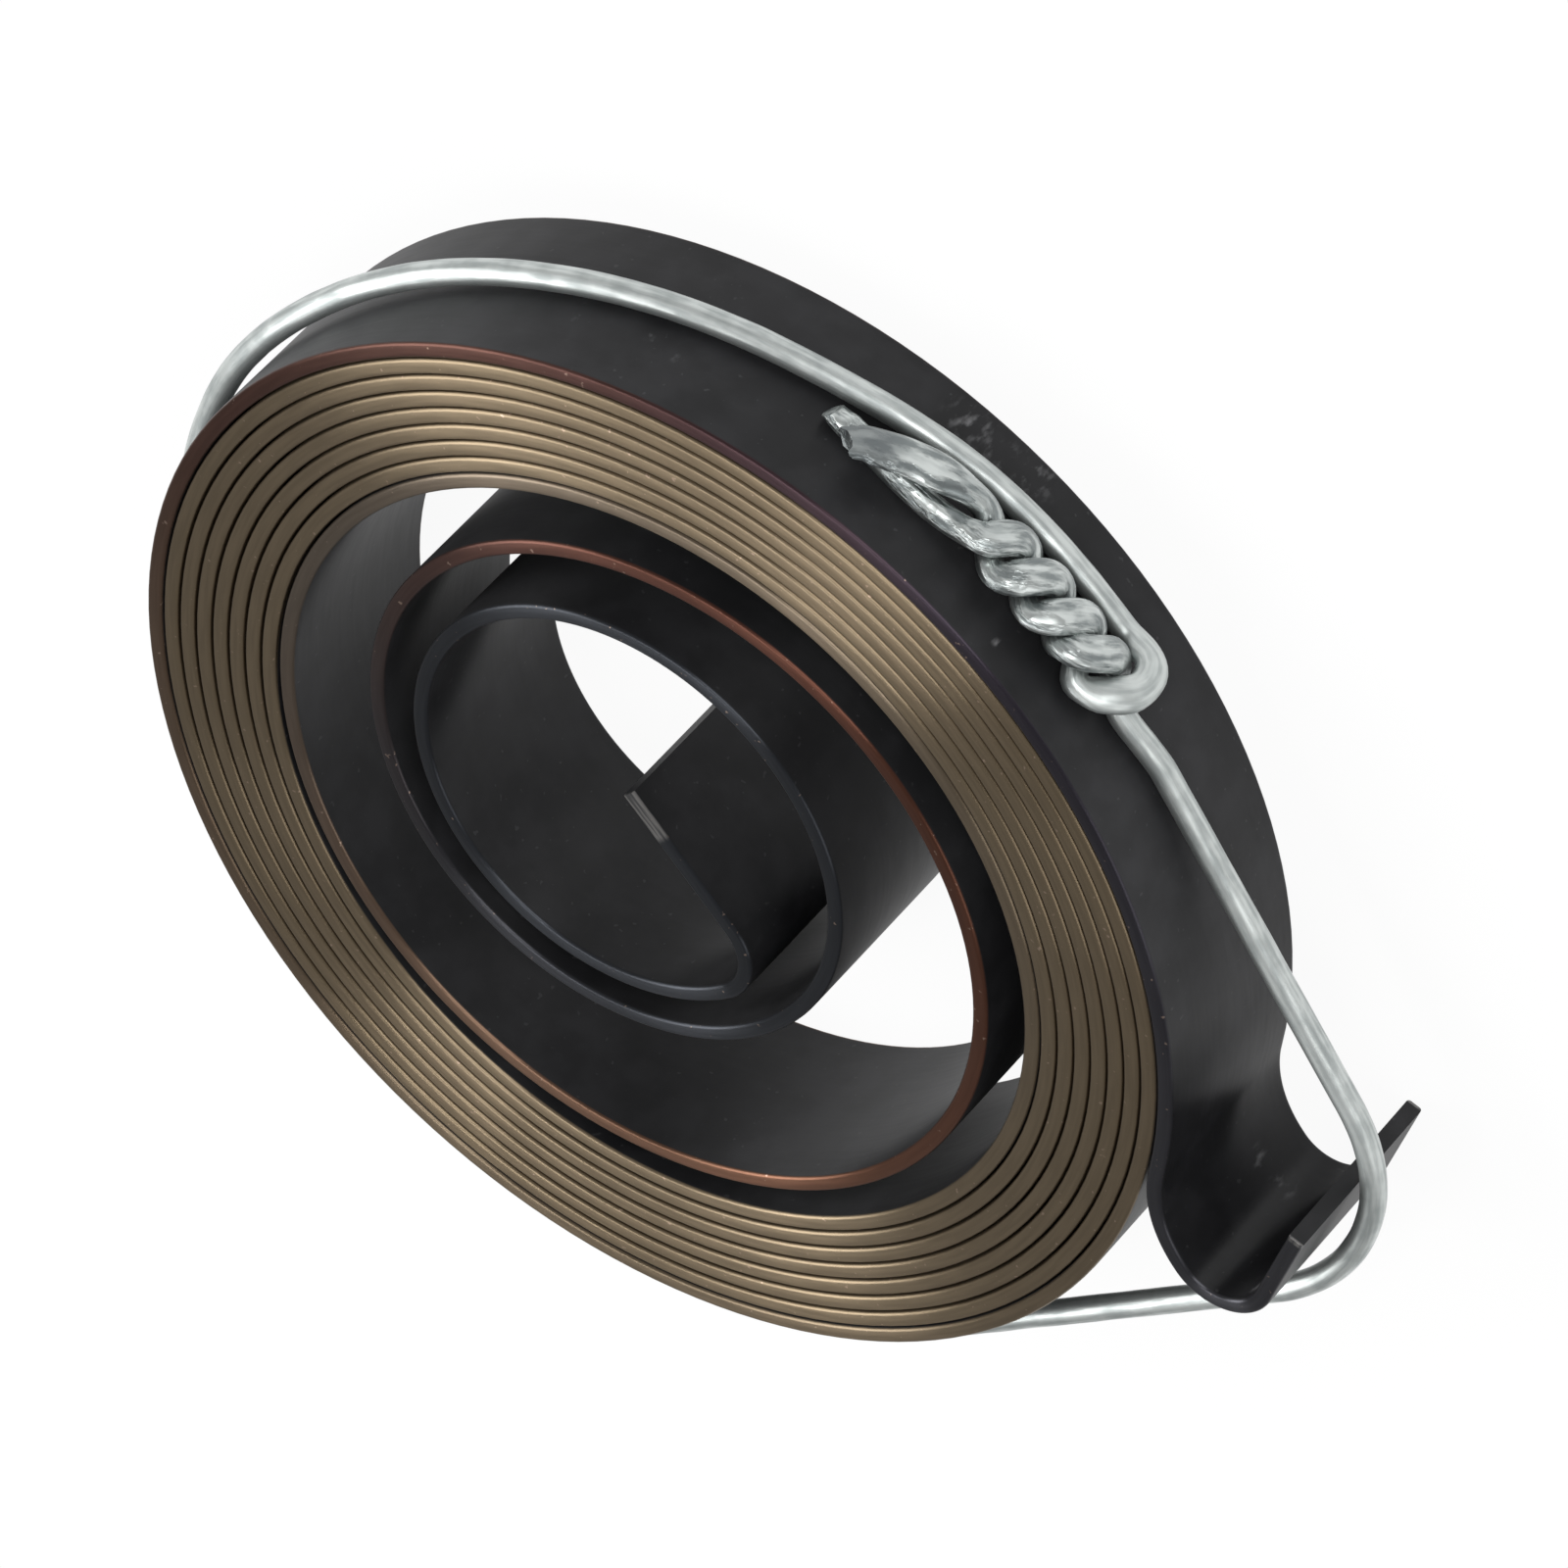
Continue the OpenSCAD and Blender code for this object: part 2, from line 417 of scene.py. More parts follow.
class Graph:
    """A node tree with a short call for each kind of node that the finishes use."""

    def __init__(self, tree: bpy.types.NodeTree) -> None:
        """Empty the tree and keep it."""
        self.tree = tree
        tree.nodes.clear()

    def feed(self, socket: Socket, value: Value) -> None:
        """Give an input its value, by a link or as a plain number or colour.

        Args:
            socket: The input.
            value: An output to link to it, or what to set on it.
        """
        if isinstance(value, Socket):
            self.tree.links.new(value, socket)
        else:
            socket.default_value = value

    def node(self, kind: str, inputs: Mapping[Key, Value], output: Key = 0, **settings: object) -> Socket:
        """Add a node, give its inputs their values and hand on one output.

        Args:
            kind: The node's type.
            inputs: Values by the number or name of their inputs.
            output: Number or name of the output.
            **settings: Properties to set on the node.

        Returns:
            The output.
        """
        node = self.tree.nodes.new(kind)
        for name, setting in settings.items():
            setattr(node, name, setting)
        for key, value in inputs.items():
            self.feed(node.inputs[key], value)
        return node.outputs[output]

    def surface(self, shader: Socket, kind: str = "ShaderNodeOutputMaterial") -> None:
        """Hand a finished shader to the tree's output."""
        self.feed(self.tree.nodes.new(kind).inputs["Surface"], shader)

    def sum(self, kind: Sum, first: Value, second: Value = 0.0) -> Socket:
        """Do arithmetic on one or two numbers."""
        return self.node("ShaderNodeMath", {0: first, 1: second}, operation=kind.value)

    def plus(self, *terms: Value) -> Socket:
        """Add numbers up."""
        return reduce(partial(self.sum, Sum.ADD), terms)

    def times(self, *factors: Value) -> Socket:
        """Multiply numbers."""
        return reduce(partial(self.sum, Sum.MULTIPLY), factors)

    def greatest(self, *values: Value) -> Socket:
        """Give the greatest of some numbers."""
        return reduce(partial(self.sum, Sum.GREATER), values)

    def fade(self, value: Value, start: float, end: float, low: float = 0.0, high: float = 1.0) -> Socket:
        """Ease from one number to another while a value goes from start to end.

        Args:
            value: The value that is read.
            start: Where the change starts.
            end: Where it ends.
            low: The number at the start.
            high: The number at the end.

        Returns:
            The eased number.
        """
        inputs = dict(enumerate((value, start, end, low, high)))
        return self.node("ShaderNodeMapRange", inputs, interpolation_type="SMOOTHSTEP")

    def blend(self, share: Value, first: Value, second: Value) -> Socket:
        """Blend two colours by a share from 0 to 1."""
        inputs = {0: share, MIX_FIRST: first, MIX_SECOND: second}
        return self.node("ShaderNodeMix", inputs, MIX_RESULT, data_type="RGBA")

    def tint(self, colour: Value, strength: Value) -> Socket:
        """Make a colour lighter or darker by a number."""
        return self.node("ShaderNodeVectorMath", {0: colour, "Scale": strength}, operation="SCALE")

    def noise(self, place: Value, scale: float, detail: float) -> Socket:
        """Give cloudy noise from 0 to 1 at a place."""
        return self.node("ShaderNodeTexNoise", {"Vector": place, "Scale": scale, "Detail": detail})

    def mottle(self, place: Value, kind: Mottle) -> Socket:
        """Read mottled noise at a place."""
        cloud = self.noise(place, kind.scale, kind.detail)
        return self.fade(cloud, kind.start, kind.end, kind.low, kind.high)

    def streaks(self, kind: Streaks, length: float) -> Socket:
        """Give streaks from 0 to 1 along a swept piece of a length in millimetres."""
        drawn = self.stretch(self.uv(), (length / kind.length, kind.count, 1.0))
        return self.noise(drawn, 1.0, kind.detail)

    def facets(self, place: Value, scale: float) -> Socket:
        """Give shallow dents that meet in ridges, from 0 in the middle of each."""
        return self.node("ShaderNodeTexVoronoi", {"Vector": place, "Scale": scale})

    def stretch(self, place: Value, scales: Sequence[float]) -> Socket:
        """Scale a place by its own number on each axis."""
        return self.node("ShaderNodeVectorMath", {0: place, 1: scales}, operation="MULTIPLY")

    def near(self, place: Value, centre: Vector, reach: float) -> Socket:
        """Give 1 at a centre, falling softly to 0 at its reach."""
        away = self.node("ShaderNodeVectorMath", {0: place, 1: centre}, "Value", operation="DISTANCE")
        return self.fade(away, 0.0, reach, 1.0, 0.0)

    def place(self) -> Socket:
        """Give the place in the object's own frame, in metres."""
        return self.node("ShaderNodeTexCoord", {}, "Object")

    def height(self) -> Socket:
        """Give the height in the object's own frame, in metres."""
        return self.node("ShaderNodeSeparateXYZ", {0: self.place()}, "Z")

    def uv(self) -> Socket:
        """Give the place along and round a swept piece."""
        return self.node("ShaderNodeUVMap", {}, uv_map=SWEEP_UV)

    def along(self) -> Socket:
        """Give the share of a swept piece's length."""
        return self.node("ShaderNodeSeparateXYZ", {0: self.uv()}, "X")

    def ramp(self, value: Value, stops: Sequence[Tuple[float, Colour]]) -> Socket:
        """Read a row of colours.

        Args:
            value: Where to read, from 0 to 1.
            stops: Places in rising order, with their colours.

        Returns:
            The colour there.
        """
        node = self.tree.nodes.new("ShaderNodeValToRGB")
        elements = node.color_ramp.elements
        while len(elements) < len(stops):
            elements.new(1.0)
        for element, (position, colour) in zip(elements, stops):
            element.position = position
            element.color = colour
        self.feed(node.inputs[0], value)
        return node.outputs[0]

    def bump(self, height: Value, depth: float) -> Socket:
        """Turn a height into a normal, a height of 1 standing for a depth in metres."""
        return self.node("ShaderNodeBump", {"Distance": depth, "Height": height})


def new_material(name: str) -> Tuple[bpy.types.Material, Graph]:
    """Make a material that has no nodes yet.

    Args:
        name: The material's name.

    Returns:
        The material and its node tree.
    """
    material = bpy.data.materials.new(name)
    material.use_nodes = True
    return material, Graph(material.node_tree)


@dataclass(frozen=True)
class Coil:
    """The wound strip's line: sizes in millimetres and degrees, and what follows from them."""

    strip_w: float
    strip_t: float = 0.7
    coil_d: float = 50.0
    close_turns: int = 8
    close_gap: float = 0.05
    open_gap: float = 0.14
    close_side: float = 42.0
    release_turn: float = 58.0
    loose_turn: float = 910.0
    loose_step: float = 5.0
    loose_pitch: float = 2.7
    inner_pitch: float = 1.95
    inner_r: float = 8.8
    drop_start: float = 247.0
    drop_turn: float = 262.0
    tab_bend_r: float = 2.4
    tab_bend_turn: float = 95.0
    tab_len: float = 7.0
    hook_root: float = -28.0
    flare_r: float = 5.7
    flare_turn: float = 51.0
    hook_r: float = 2.2
    hook_turn: float = 119.0
    tip_len: float = 4.2

    def _lap_steps(self, lap: int) -> Tuple[float, float]:
        """Give how far the strip steps in up to a half turn, past open gaps and past close gaps."""
        wide, narrow = self.strip_t + self.open_gap, self.strip_t + self.close_gap
        return math.ceil(lap / 2) * wide / 2, lap // 2 * narrow / 2

    def lap_r(self, lap: int) -> float:
        """Give the centre line's radius on a half turn, counted from the hook's root."""
        wide, narrow = self._lap_steps(lap)
        return (self.coil_d - self.strip_t) / 2 - wide - narrow

    def lap_centre(self, lap: int) -> Vector:
        """Give the centre of a half turn, on the line through the close side."""
        wide, narrow = self._lap_steps(lap)
        return (wide - narrow) * ahead(self.close_side)

    def outer_lap(self, direction: float) -> int:
        """Give the half turn that lies outermost in a direction, up to a turn past the close side."""
        return sum(direction >= self.close_side + half for half in (0, 180))

    def outside(self, place: Vector) -> Vector:
        """Find a place on the outside of the coil.

        Args:
            place: Direction in degrees, lift above the surface and height from the strip's middle.

        Returns:
            The place in the part's frame.
        """
        lap = self.outer_lap(place.x)
        reach = self.lap_r(lap) + self.strip_t / 2 + place.y
        return self.lap_centre(lap) + reach * ahead(place.x) + (self.strip_w / 2 + place.z) * UP

    def lift_of(self, place: Vector) -> float:
        """Find how far a place stands above the outside of the coil.

        Args:
            place: A place in the part's frame.

        Returns:
            The lift.
        """
        lap = self.outer_lap(direction_of(place))
        flat = Vector((place.x, place.y, 0.0)) - self.lap_centre(lap)
        return flat.length - self.lap_r(lap) - self.strip_t / 2

    def close_runs(self) -> List[Run]:
        """Lay the close turns from the hook's root inwards.

        Returns:
            Their runs, half a turn each.
        """
        final = 2 * self.close_turns + 1
        halves = [Run.bend(self.lap_r(lap), 180) for lap in range(1, final)]
        first = Run.bend(self.lap_r(0), self.close_side - self.hook_root)
        return [first, *halves, Run.bend(self.lap_r(final), self.release_turn)]

    def loose_r(self, turn: float) -> float:
        """Find the radius of the loose turns, one slow spiral that eases into a tighter one.

        Args:
            turn: Degrees from where they leave the close turns.

        Returns:
            The centre line's radius.
        """
        outer = self.lap_r(2 * self.close_turns + 1) - self.loose_pitch * turn / 360
        inner = self.inner_r + self.inner_pitch * (self.loose_turn - turn) / 360
        return mix(outer, inner, ease((turn - self.drop_start) / self.drop_turn))

    def loose_runs(self) -> List[Run]:
        """Lay the loose turns.

        Returns:
            Their runs, which are short bends.
        """
        count = math.ceil(self.loose_turn / self.loose_step)
        step = self.loose_turn / count
        return [Run.bend(self.loose_r((k + 0.5) * step), step) for k in range(count)]

    def tab_runs(self) -> List[Run]:
        """Give the inner tab."""
        return [Run.bend(self.tab_bend_r, self.tab_bend_turn), Run(self.tab_len)]

    def hook_runs(self) -> List[Run]:
        """Give the outer hook from its root to its tip."""
        flare = Run.bend(self.flare_r, self.flare_turn)
        return [flare, Run.bend(self.hook_r, self.hook_turn), Run(self.tip_len)]

    def hook_stations(self) -> List[Station]:
        """Find the ends of the hook's runs.

        Returns:
            Their stations, from its root to its tip.
        """
        root = self.lap_r(0) * ahead(self.hook_root)
        stations = [Station(root, self.hook_root - 90)]
        for run in self.hook_runs():
            stations.append(run.end(stations[-1]))
        return stations

    def hook_centre(self) -> Vector:
        """Give the centre of the hook's bend."""
        return self.hook_runs()[1].centre(self.hook_stations()[1])

    def start(self) -> Station:
        """Give the hook's tip, looking back along the strip."""
        tip = self.hook_stations()[-1]
        return Station(tip.point, tip.heading + 180)

    def runs(self) -> List[Run]:
        """Give the whole strip from the hook's tip to the tab's end."""
        hook = [Run(run.length, -run.turn) for run in reversed(self.hook_runs())]
        return [*hook, *self.close_runs(), *self.loose_runs(), *self.tab_runs()]

    def length(self) -> float:
        """Give the strip's length along its centre line."""
        return sum(run.length for run in self.runs())

    def share_at(self, turns: float) -> float:
        """Find how far along the strip a number of turns from the hook's root lies.

        Args:
            turns: Turns from the root, towards the tab.

        Returns:
            The share of the strip's length from the hook's tip.
        """
        travel = sum(run.length for run in self.hook_runs())
        left = 360 * turns
        for run in [*self.close_runs(), *self.loose_runs()]:
            part = min(1.0, left / run.turn)
            travel += part * run.length
            left -= part * run.turn
            if left <= 0:
                break
        return travel / self.length()


@dataclass(frozen=True)
class Temper:
    """One colour on the strip's edge.

    Attributes:
        turns: Turns from the hook's root.
        colour: The edge's own colour there.
    """

    turns: float
    colour: Colour


@dataclass(frozen=True)
class Scuff:
    """A worn patch on the strip.

    Attributes:
        direction: Direction from the axis, in degrees.
        radius: Distance from the axis, in millimetres.
        height: Height above the floor, in millimetres.
        reach: How far the patch goes, in millimetres.
        worn: Share of light metal in its middle.
    """

    direction: float
    radius: float
    height: float
    reach: float
    worn: float = 0.7

    def centre(self) -> Vector:
        """Give the patch's centre in metres."""
        return MM * (self.radius * ahead(self.direction) + self.height * UP)


@dataclass(frozen=True)
class TemperedSteel:
    """Blackened spring strip, with oxide colours on its slit edges, a few scuffs and bare ends."""

    face_dark: Colour = shade(25, 25, 27)
    face_light: Colour = shade(38, 38, 40)
    speck: Colour = shade(128, 128, 130)
    chip: Colour = shade(205, 178, 160)
    bare: Colour = shade(136, 134, 132)
    tempers: Tuple[Temper, ...] = (
        Temper(0.0, shade(66, 66, 70)),
        Temper(0.17, shade(54, 50, 58)),
        Temper(0.24, shade(66, 50, 54)),
        Temper(0.3, shade(80, 56, 50)),
        Temper(0.45, shade(85, 60, 52)),
        Temper(0.52, shade(104, 86, 72)),
        Temper(0.7, shade(114, 101, 84)),
        Temper(1.1, shade(122, 108, 88)),
        Temper(7.9, shade(125, 111, 91)),
        Temper(8.5, shade(105, 95, 85)),
        Temper(8.7, shade(106, 84, 69)),
        Temper(8.85, shade(110, 78, 62)),
        Temper(8.98, shade(102, 69, 55)),
        Temper(9.2, shade(85, 55, 45)),
        Temper(9.35, shade(86, 58, 50)),
        Temper(9.5, shade(76, 66, 64)),
        Temper(9.6, shade(60, 59, 62)),
        Temper(9.8, shade(56, 58, 62)),
    )
    scuffs: Tuple[Scuff, ...] = (
        Scuff(47.0, 25.0, 1.1, 1.6),
        Scuff(43.5, 25.0, 1.2, 1.2),
        Scuff(40.0, 25.0, 0.9, 1.5),
        Scuff(71.0, 25.0, 6.3, 0.35),
        Scuff(74.8, 25.0, 5.8, 0.35),
        Scuff(82.5, 25.0, 6.2, 0.35),
        Scuff(32.0, 25.0, 7.8, 0.35),
        Scuff(-35.1, 29.96, 8.24, 0.6),
        Scuff(-37.2, 27.94, 2.61, 0.9, 0.5),
        Scuff(-35.6, 26.53, 2.76, 0.8, 0.5),
    )
    # Noise on the faces and edges, and the share or strength that each stands for.
    cloud: Mottle = Mottle(140.0, 3.0, 0.35, 0.7)
    blotch: Mottle = Mottle(620.0, 4.0, 0.36, 0.66, 0.84, 1.2)
    dust: Mottle = Mottle(2900.0, 1.0, 0.72, 0.78, 0.0, 0.1)
    chips: Mottle = Mottle(3200.0, 2.0, 0.7, 0.76, 0.0, 0.4)
    scratches: Mottle = Mottle(2600.0, 6.0, 0.48, 0.74)
    scratch_draw: Tuple[float, float, float] = (1.0, 1.0, 0.5)
    grain_scale: float = 2600.0
    grain_detail: float = 3.0
    grain_depth: float = 0.002
    # Rolling streaks, the band in which they are read, and what they add to tone and roughness.
    streaks: Streaks = Streaks(3.0, 90.0, 3.0)
    streak_band: Band = (0.3, 0.7)
    streak_tone: float = 0.08
    streak_roughness: float = 0.015
    # Polish of the faces and of the edges, whose sheen spreads across the strip.
    face_roughness: float = 0.4
    face_gloss: float = 0.28
    edge_roughness: float = 0.31
    edge_metal: float = 0.95
    sheen_across: float = 0.9
    # Edge colour starts and is full at these shares of the edge radius from the strip's edge.
    edge_from: float = 1.1
    edge_full: float = 0.4
    # Between the close turns it goes this far down, in millimetres, from one turn to another.
    seam_depth: float = 0.5
    seam_from: float = 1.05
    seam_to: float = 7.4
    seam_fade: float = 0.15
    # Bare metal starts and is full at these lengths from the strip's ends, and streaks thin it.
    bare_tab: float = 2.5
    bare_tab_full: float = 2.125
    bare_tip: float = 0.25
    bare_tip_full: float = 0.125
    bare_band: Band = (0.44, 0.56)
    bare_least: float = 0.3

    def material(self, coil: Coil, edge_r: float) -> bpy.types.Material:
        """Make the strip's material.

        Args:
            coil: The strip's line, which places the colours.
            edge_r: Radius of its edges, in millimetres.

        Returns:
            The material.
        """
        material, graph = new_material("tempered_steel_strip")
        place = graph.place()
        length = coil.length()
        edge = self._edge_mask(graph, coil, edge_r)
        streak = graph.streaks(self.streaks, length)

        stops = [(coil.share_at(temper.turns), temper.colour) for temper in self.tempers]
        tone = graph.fade(streak, *self.streak_band, 1 - self.streak_tone, 1 + self.streak_tone)
        edge_colour = graph.tint(graph.ramp(graph.along(), stops), tone)
        edge_colour = graph.blend(graph.mottle(place, self.chips), edge_colour, self.chip)

        face_colour = graph.blend(graph.mottle(place, self.cloud), self.face_dark, self.face_light)
        face_colour = graph.tint(face_colour, graph.mottle(place, self.blotch))
        face_colour = graph.blend(self._marks(graph), face_colour, self.speck)
        colour = graph.blend(edge, face_colour, edge_colour)
        bare = graph.times(self._bare_ends(graph, streak, length), edge)

        polish = graph.fade(edge, 0.0, 1.0, self.face_roughness, self.edge_roughness)
        uneven = graph.fade(streak, *self.streak_band, -self.streak_roughness, self.streak_roughness)
        grain = graph.noise(place, self.grain_scale, self.grain_detail)
        relief = graph.times(grain, graph.sum(Sum.SUBTRACT, 1.0, edge))
        shader = {
            "Base Color": graph.blend(bare, colour, self.bare),
            "Metallic": graph.times(edge, self.edge_metal),
            "Roughness": graph.plus(polish, uneven),
            "Specular IOR Level": self.face_gloss,
            "Anisotropic": self.sheen_across,
            "Anisotropic Rotation": QUARTER_TURN,
            "Tangent": graph.node("ShaderNodeTangent", {}, direction_type="UV_MAP", uv_map=SWEEP_UV),
            "Normal": graph.bump(relief, self.grain_depth * MM),
        }
        graph.surface(graph.node("ShaderNodeBsdfPrincipled", shader))
        return material

    def _edge_mask(self, graph: Graph, coil: Coil, edge_r: float) -> Socket:
        """Find the strip's two edges, whose colour goes some way down between the close turns.

        Args:
            graph: The material's nodes.
            coil: The strip's line.
            edge_r: Radius of the edges, in millimetres.

        Returns:
            1 on the edges and 0 on the faces.
        """
        middle = coil.strip_w / 2
        along = graph.along()
        first, final = self.seam_from, self.seam_to
        past = graph.fade(along, coil.share_at(first), coil.share_at(first + self.seam_fade))
        before = graph.fade(along, coil.share_at(final + self.seam_fade), coil.share_at(final))
        deeper = graph.times(past, before, self.seam_depth * MM)
        from_middle = graph.sum(Sum.DISTANCE, graph.sum(Sum.SUBTRACT, graph.height(), middle * MM))
        start, full = (middle - share * edge_r for share in (self.edge_from, self.edge_full))
        return graph.fade(graph.plus(from_middle, deeper), start * MM, full * MM)

    def _marks(self, graph: Graph) -> Socket:
        """Give the share of light specks and scuffs on the faces.

        Args:
            graph: The material's nodes.

        Returns:
            The share.
        """
        place = graph.place()
        marks = graph.mottle(place, self.dust)
        scratches = graph.mottle(graph.stretch(place, self.scratch_draw), self.scratches)
        for scuff in self.scuffs:
            patch = graph.near(place, scuff.centre(), scuff.reach * MM)
            marks = graph.greatest(marks, graph.times(patch, scratches, scuff.worn))
        return marks

    def _bare_ends(self, graph: Graph, streak: Socket, length: float) -> Socket:
        """Give the share of bare metal at the sheared ends.

        Args:
            graph: The material's nodes.
            streak: Noise that runs along the strip.
            length: The strip's length, in millimetres.

        Returns:
            The share.
        """
        along = graph.along()
        tab = graph.fade(along, 1 - self.bare_tab / length, 1 - self.bare_tab_full / length)
        tip = graph.fade(along, self.bare_tip / length, self.bare_tip_full / length)
        return graph.times(graph.greatest(tab, tip), graph.fade(streak, *self.bare_band, self.bare_least))


@dataclass(frozen=True)
class ZincCoat:
    """Dull galvanised coat of soft wire, streaked along its length where it was drawn and bent."""

    bright: Colour = shade(209, 214, 212)
    dull: Colour = shade(170, 176, 175)
    crushed: Colour = shade(112, 119, 120)
    darker_end_colour: Colour = shade(104, 109, 111)
    metal: float = 0.9
    # Tone: drawn streaks with a share of spangle, and the bands in which colour and polish follow it.
    streaks: Streaks = Streaks(2.5, 14.0, 4.0)
    spangle_scale: float = 900.0
    spangle_detail: float = 2.0
    spangle_share: float = 0.35
    colour_band: Band = (0.36, 0.62)
    polish_band: Band = (0.35, 0.65)
    roughness_low: float = 0.4
    roughness_high: float = 0.5
    # Pliers worked the wire this far from its ends, in millimetres, and left grooves and dents.
    worked: float = 20.0
    worked_full: float = 17.0
    worked_gloss: float = 0.12
    grooves: Streaks = Streaks(1.5, 9.0, 4.0)
    groove_band: Band = (0.38, 0.58)
    groove_share: float = 0.85
    dent_scale: float = 1000.0
    # The wire is made darker this far from its torn end, in millimetres.
    darker_end: float = 2.6
    darker_end_full: float = 1.3
    darker_end_share: float = 0.7
    # Height of the relief, in millimetres, and how much each pattern adds to it.
    relief: float = 0.03
    tone_height: float = 0.5
    dent_height: float = 3.0
    groove_height: float = -1.6

    def material(self, length: float) -> bpy.types.Material:
        """Make the wire's material.

        Args:
            length: The wire's length, in millimetres.

        Returns:
            The material.
        """
        material, graph = new_material("zinc_coated_wire")
        place = graph.place()
        along = graph.along()
        spangle = graph.noise(place, self.spangle_scale, self.spangle_detail)
        drawn = graph.times(graph.streaks(self.streaks, length), 1 - self.spangle_share)
        tone = graph.plus(drawn, graph.times(spangle, self.spangle_share))
        from_middle = graph.sum(Sum.DISTANCE, graph.sum(Sum.SUBTRACT, along, 0.5))
        worked = graph.fade(from_middle, 0.5 - self.worked / length, 0.5 - self.worked_full / length)
        grooves = graph.fade(graph.streaks(self.grooves, length), *self.groove_band, self.groove_share, 0.0)
        crushed = graph.times(worked, grooves)
        # The colour goes darker towards the torn end.
        darker_end_start, darker_end_full = 1 - self.darker_end / length, 1 - self.darker_end_full / length
        darker_end = graph.fade(along, darker_end_start, darker_end_full, 0.0, self.darker_end_share)

        colour = graph.blend(graph.fade(tone, *self.colour_band), self.dull, self.bright)
        colour = graph.blend(crushed, colour, self.crushed)
        polish = graph.fade(tone, *self.polish_band, self.roughness_high, self.roughness_low)
        relief = graph.plus(
            graph.times(tone, self.tone_height),
            graph.times(graph.facets(place, self.dent_scale), worked, self.dent_height),
            graph.times(crushed, self.groove_height),
        )
        shader = {
            "Base Color": graph.blend(darker_end, colour, self.darker_end_colour),
            "Metallic": self.metal,
            "Roughness": graph.sum(Sum.SUBTRACT, polish, graph.times(worked, self.worked_gloss)),
            "Normal": graph.bump(relief, self.relief * MM),
        }
        graph.surface(graph.node("ShaderNodeBsdfPrincipled", shader))
        return material


@dataclass(frozen=True)
class SpringStrip:
    """The wound strip with its hook, its turns and its tab.

    Attributes:
        coil: The strip's line.
        finish: What it looks like.
        edge_r: Radius that slitting and rolling leave on its edges, in millimetres.
        edge_steps: Steps in that radius.
        bend_step: The most degrees in a step round a bend.
        flat_margin: Width of the band that keeps each face flat beside its rounded edge, in millimetres.
        sharp: Angle past which an edge stays sharp, in degrees.
    """

    coil: Coil
    finish: TemperedSteel
    edge_r: float = 0.14
    edge_steps: int = 5
    bend_step: float = 2.5
    flat_margin: float = 0.05
    sharp: float = 40.0

    def build(self) -> bpy.types.Object:
        """Model the strip as one profile drawn from the hook's tip to the tab's end.

        Returns:
            The finished object.
        """
        station = self.coil.start()
        stations = [station]
        travel = [0.0]
        for run in self.coil.runs():
            for part in run.parts(self.bend_step):
                station = part.end(station)
                stations.append(station)
                travel.append(travel[-1] + part.length)
        bm = new_sweep()
        self._draw_section(bm)
        draw_out(bm, [station.frame() for station in stations], [part / travel[-1] for part in travel])
        lay_uv(bm)
        return finish_piece(bm, STRIP + "_body", self.sharp)

    def dress(self, piece: bpy.types.Object) -> None:
        """Give the strip its finish and its body, and hide the solid that it stands for.

        Args:
            piece: The strip's object.
        """
        piece.data.materials.append(self.finish.material(self.coil, self.edge_r))
        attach(piece, BODY)
        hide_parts(STRIP)

    def _draw_section(self, bm: bmesh.types.BMesh) -> None:
        """Draw the strip's section, with rounded corners, standing on the X axis.

        Args:
            bm: The new sweep that it is drawn in.
        """
        width = self.coil.strip_w
        verts = bmesh.ops.create_grid(bm, x_segments=1, y_segments=1, size=0.5)["verts"]
        bmesh.ops.scale(bm, vec=(self.coil.strip_t, width, 1.0), verts=verts)
        bmesh.ops.bevel(
            bm,
            geom=verts,
            affect="VERTICES",
            offset=self.edge_r,
            offset_type="OFFSET",
            segments=self.edge_steps,
            profile=0.5,
            material=-1,
        )
        faces = [edge for edge in bm.edges if edge.calc_length() > width / 2]
        bmesh.ops.bisect_edges(bm, edges=faces, cuts=2)
        margin = width / 2 - self.edge_r - self.flat_margin
        for vert in bm.verts:
            if abs(vert.co.y) < width / 4:
                vert.co.y = math.copysign(margin, vert.co.y)
        bmesh.ops.translate(bm, verts=bm.verts, vec=(0.0, width / 2, 0.0))
        self._mark_girth(bm)

    @staticmethod
    def _mark_girth(bm: bmesh.types.BMesh) -> None:
        """Note on each vertex of the section its share of the way round.

        Args:
            bm: The sweep that holds the section.
        """
        girth = bm.verts.layers.float[ROUND]
        bm.faces.ensure_lookup_table()
        loops = bm.faces[0].loops
        total = sum(loop.edge.calc_length() for loop in loops)
        travel = 0.0
        for loop in loops:
            loop.vert[girth] = travel / total
            travel += loop.edge.calc_length()


class EndCut(Enum):
    """How a free end of the wire was cut."""

    PINCHED = "pinched"
    FLATTENED = "flattened"


